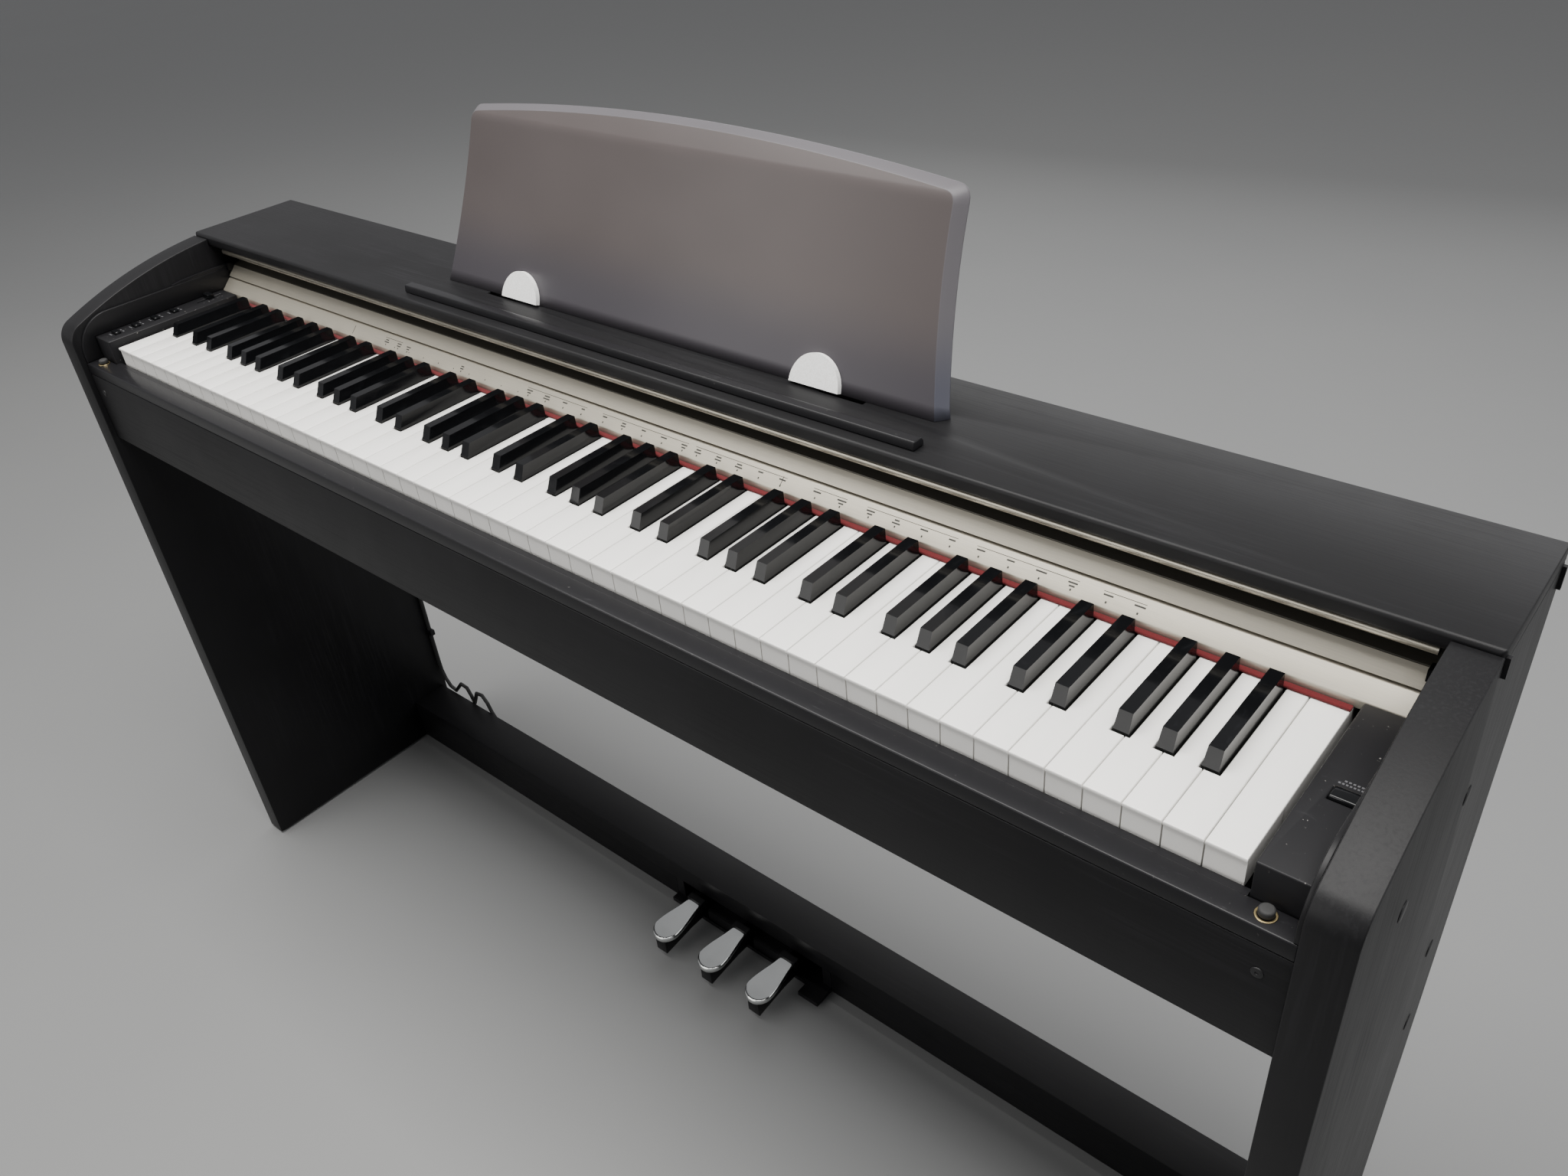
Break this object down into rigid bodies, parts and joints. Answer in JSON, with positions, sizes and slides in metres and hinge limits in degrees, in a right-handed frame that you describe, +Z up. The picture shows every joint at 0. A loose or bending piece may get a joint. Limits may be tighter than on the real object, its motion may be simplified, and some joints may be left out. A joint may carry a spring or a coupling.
{
  "type": "digital piano on stand",
  "caption": "Slim console digital piano: black panel stand with crossbar and pedals, full keyboard, silver control panel, sliding lid and smoked leaning music stand.",
  "frame": {"origin": "on the floor, halfway across the whole width and depth", "axes": "+X to the player's right along the keyboard, +Y away from the player, +Z up"},
  "size_m": [1.352, 0.301, 0.954],
  "materials": {
    "black_wood": "satin black with a fine open grain",
    "black_plastic": "satin black moulding, lightly scuffed",
    "glide_rubber": "matt",
    "bumper_rubber": "matt",
    "speaker_metal": "matt black",
    "gloss_controls": "polished black",
    "champagne_panel": "fine brushed champagne silver",
    "red_felt": "short felt nap",
    "white_keys": "warm white with a soft gloss",
    "black_keys": "polished black",
    "circuit_board": "solder resist",
    "smoked_acrylic": "smoked translucent sheet",
    "pedal_chrome": "polished, lightly worn",
    "pedal_lever_metal": "satin black",
    "lead_sheath": "satin sheath"
  },
  "bodies": {
    "base": {"side_panel_left": "black_wood", "side_panel_right": "black_wood", "glide_front_left": "glide_rubber", "glide_front_right": "glide_rubber", "glide_rear_left": "glide_rubber", "glide_rear_right": "glide_rubber", "top_board": "black_wood", "back_panel": "black_wood", "bottom_board": "black_wood", "front_apron": "black_wood", "key_slip": "black_plastic", "socket_plate": "black_plastic", "lid_bumper_left": "bumper_rubber", "lid_bumper_right": "bumper_rubber", "speaker_left": "speaker_metal", "speaker_right": "speaker_metal", "end_block_left": "black_plastic", "end_block_right": "black_plastic", "cheek_left": "black_plastic", "cheek_right": "black_plastic", "control_panel": "champagne_panel", "key_felt": "red_felt", "white_keys_bass": "white_keys", "black_keys_bass": "black_keys", "white_keys_treble": "white_keys", "black_keys_treble": "black_keys", "key_frame": "black_plastic", "main_board": "circuit_board", "music_ledge": "black_plastic", "crossbar": "black_wood", "pedal_housing": "black_plastic", "pedal_lead": "lead_sheath"},
    "lid_front": {"lid_front_strip": "champagne_panel", "lid_front_leaf": "black_plastic"},
    "lid_rear": {"lid_rear_leaf": "black_plastic"},
    "music_stand": {"music_stand": "smoked_acrylic"},
    "power_button": {"power_button": "gloss_controls"},
    "volume_slider": {"volume_slider": "gloss_controls"},
    "function_button_1": {"function_button_1": "gloss_controls"},
    "function_button_2": {"function_button_2": "gloss_controls"},
    "function_button_3": {"function_button_3": "gloss_controls"},
    "function_button_4": {"function_button_4": "gloss_controls"},
    "white_key_c": {"white_key_c": "white_keys"},
    "white_key_d": {"white_key_d": "white_keys"},
    "white_key_e": {"white_key_e": "white_keys"},
    "white_key_f": {"white_key_f": "white_keys"},
    "white_key_g": {"white_key_g": "white_keys"},
    "white_key_a": {"white_key_a": "white_keys"},
    "white_key_b": {"white_key_b": "white_keys"},
    "black_key_c_sharp": {"black_key_c_sharp": "black_keys"},
    "black_key_d_sharp": {"black_key_d_sharp": "black_keys"},
    "black_key_f_sharp": {"black_key_f_sharp": "black_keys"},
    "black_key_g_sharp": {"black_key_g_sharp": "black_keys"},
    "black_key_a_sharp": {"black_key_a_sharp": "black_keys"},
    "pedal_left": {"pedal_left": "pedal_chrome", "pedal_arm_left": "pedal_lever_metal"},
    "pedal_middle": {"pedal_middle": "pedal_chrome", "pedal_arm_middle": "pedal_lever_metal"},
    "pedal_right": {"pedal_right": "pedal_chrome", "pedal_arm_right": "pedal_lever_metal"}
  },
  "joints": [
    {"name": "lid_front_slide", "type": "slide", "parent": "base", "child": "lid_front", "axis": [0, -0.9983, -0.0579], "range_m": [0, 0.1763]},
    {"name": "lid_rear_slide", "type": "slide", "parent": "base", "child": "lid_rear", "axis": [0, -0.9981, -0.0624], "range_m": [0, 0.0882]},
    {"name": "music_stand_lift", "type": "slide", "parent": "base", "child": "music_stand", "axis": [0, 0.342, 0.9397], "range_m": [0, 0.03]},
    {"name": "power_button_press", "type": "slide", "parent": "base", "child": "power_button", "axis": [0, 0, -1], "range_m": [0, 0.0015], "stiffness_N_per_m": 300, "springref_m": -0.002},
    {"name": "function_button_1_press", "type": "slide", "parent": "base", "child": "function_button_1", "axis": [0, 0, -1], "range_m": [0, 0.0015], "stiffness_N_per_m": 300, "springref_m": -0.002},
    {"name": "function_button_2_press", "type": "slide", "parent": "base", "child": "function_button_2", "axis": [0, 0, -1], "range_m": [0, 0.0015], "stiffness_N_per_m": 300, "springref_m": -0.002},
    {"name": "function_button_3_press", "type": "slide", "parent": "base", "child": "function_button_3", "axis": [0, 0, -1], "range_m": [0, 0.0015], "stiffness_N_per_m": 300, "springref_m": -0.002},
    {"name": "function_button_4_press", "type": "slide", "parent": "base", "child": "function_button_4", "axis": [0, 0, -1], "range_m": [0, 0.0015], "stiffness_N_per_m": 300, "springref_m": -0.002},
    {"name": "volume_slider_move", "type": "slide", "parent": "base", "child": "volume_slider", "axis": [0, 1, 0], "range_m": [-0.012, 0.012]},
    {"name": "white_key_c_press", "type": "hinge", "parent": "base", "child": "white_key_c", "pos_m": [0, 0.088, 0.708], "axis": [1, 0, 0], "range_deg": [0, 2.6], "stiffness_Nm_per_rad": 1, "springref_deg": -20.05},
    {"name": "white_key_d_press", "type": "hinge", "parent": "base", "child": "white_key_d", "pos_m": [0, 0.088, 0.708], "axis": [1, 0, 0], "range_deg": [0, 2.6], "stiffness_Nm_per_rad": 1, "springref_deg": -20.05},
    {"name": "white_key_e_press", "type": "hinge", "parent": "base", "child": "white_key_e", "pos_m": [0, 0.088, 0.708], "axis": [1, 0, 0], "range_deg": [0, 2.6], "stiffness_Nm_per_rad": 1, "springref_deg": -20.05},
    {"name": "white_key_f_press", "type": "hinge", "parent": "base", "child": "white_key_f", "pos_m": [0, 0.088, 0.708], "axis": [1, 0, 0], "range_deg": [0, 2.6], "stiffness_Nm_per_rad": 1, "springref_deg": -20.05},
    {"name": "white_key_g_press", "type": "hinge", "parent": "base", "child": "white_key_g", "pos_m": [0, 0.088, 0.708], "axis": [1, 0, 0], "range_deg": [0, 2.6], "stiffness_Nm_per_rad": 1, "springref_deg": -20.05},
    {"name": "white_key_a_press", "type": "hinge", "parent": "base", "child": "white_key_a", "pos_m": [0, 0.088, 0.708], "axis": [1, 0, 0], "range_deg": [0, 2.6], "stiffness_Nm_per_rad": 1, "springref_deg": -20.05},
    {"name": "white_key_b_press", "type": "hinge", "parent": "base", "child": "white_key_b", "pos_m": [0, 0.088, 0.708], "axis": [1, 0, 0], "range_deg": [0, 2.6], "stiffness_Nm_per_rad": 1, "springref_deg": -20.05},
    {"name": "black_key_c_sharp_press", "type": "hinge", "parent": "base", "child": "black_key_c_sharp", "pos_m": [0, 0.088, 0.708], "axis": [1, 0, 0], "range_deg": [0, 2.6], "stiffness_Nm_per_rad": 1, "springref_deg": -20.05},
    {"name": "black_key_d_sharp_press", "type": "hinge", "parent": "base", "child": "black_key_d_sharp", "pos_m": [0, 0.088, 0.708], "axis": [1, 0, 0], "range_deg": [0, 2.6], "stiffness_Nm_per_rad": 1, "springref_deg": -20.05},
    {"name": "black_key_f_sharp_press", "type": "hinge", "parent": "base", "child": "black_key_f_sharp", "pos_m": [0, 0.088, 0.708], "axis": [1, 0, 0], "range_deg": [0, 2.6], "stiffness_Nm_per_rad": 1, "springref_deg": -20.05},
    {"name": "black_key_g_sharp_press", "type": "hinge", "parent": "base", "child": "black_key_g_sharp", "pos_m": [0, 0.088, 0.708], "axis": [1, 0, 0], "range_deg": [0, 2.6], "stiffness_Nm_per_rad": 1, "springref_deg": -20.05},
    {"name": "black_key_a_sharp_press", "type": "hinge", "parent": "base", "child": "black_key_a_sharp", "pos_m": [0, 0.088, 0.708], "axis": [1, 0, 0], "range_deg": [0, 2.6], "stiffness_Nm_per_rad": 1, "springref_deg": -20.05},
    {"name": "pedal_left_press", "type": "hinge", "parent": "base", "child": "pedal_left", "pos_m": [-0.073, 0.10703, 0.027], "axis": [1, 0, 0], "range_deg": [0, 4.5], "stiffness_Nm_per_rad": 10, "springref_deg": -8.59},
    {"name": "pedal_middle_press", "type": "hinge", "parent": "base", "child": "pedal_middle", "pos_m": [0, 0.10703, 0.027], "axis": [1, 0, 0], "range_deg": [0, 4.5], "stiffness_Nm_per_rad": 10, "springref_deg": -8.59},
    {"name": "pedal_right_press", "type": "hinge", "parent": "base", "child": "pedal_right", "pos_m": [0.073, 0.10703, 0.027], "axis": [1, 0, 0], "range_deg": [0, 4.5], "stiffness_Nm_per_rad": 10, "springref_deg": -8.59}
  ],
  "couplings": [
    {"joint": "lid_rear_slide", "follows": "lid_front_slide", "ratio": 0.5}
  ]
}
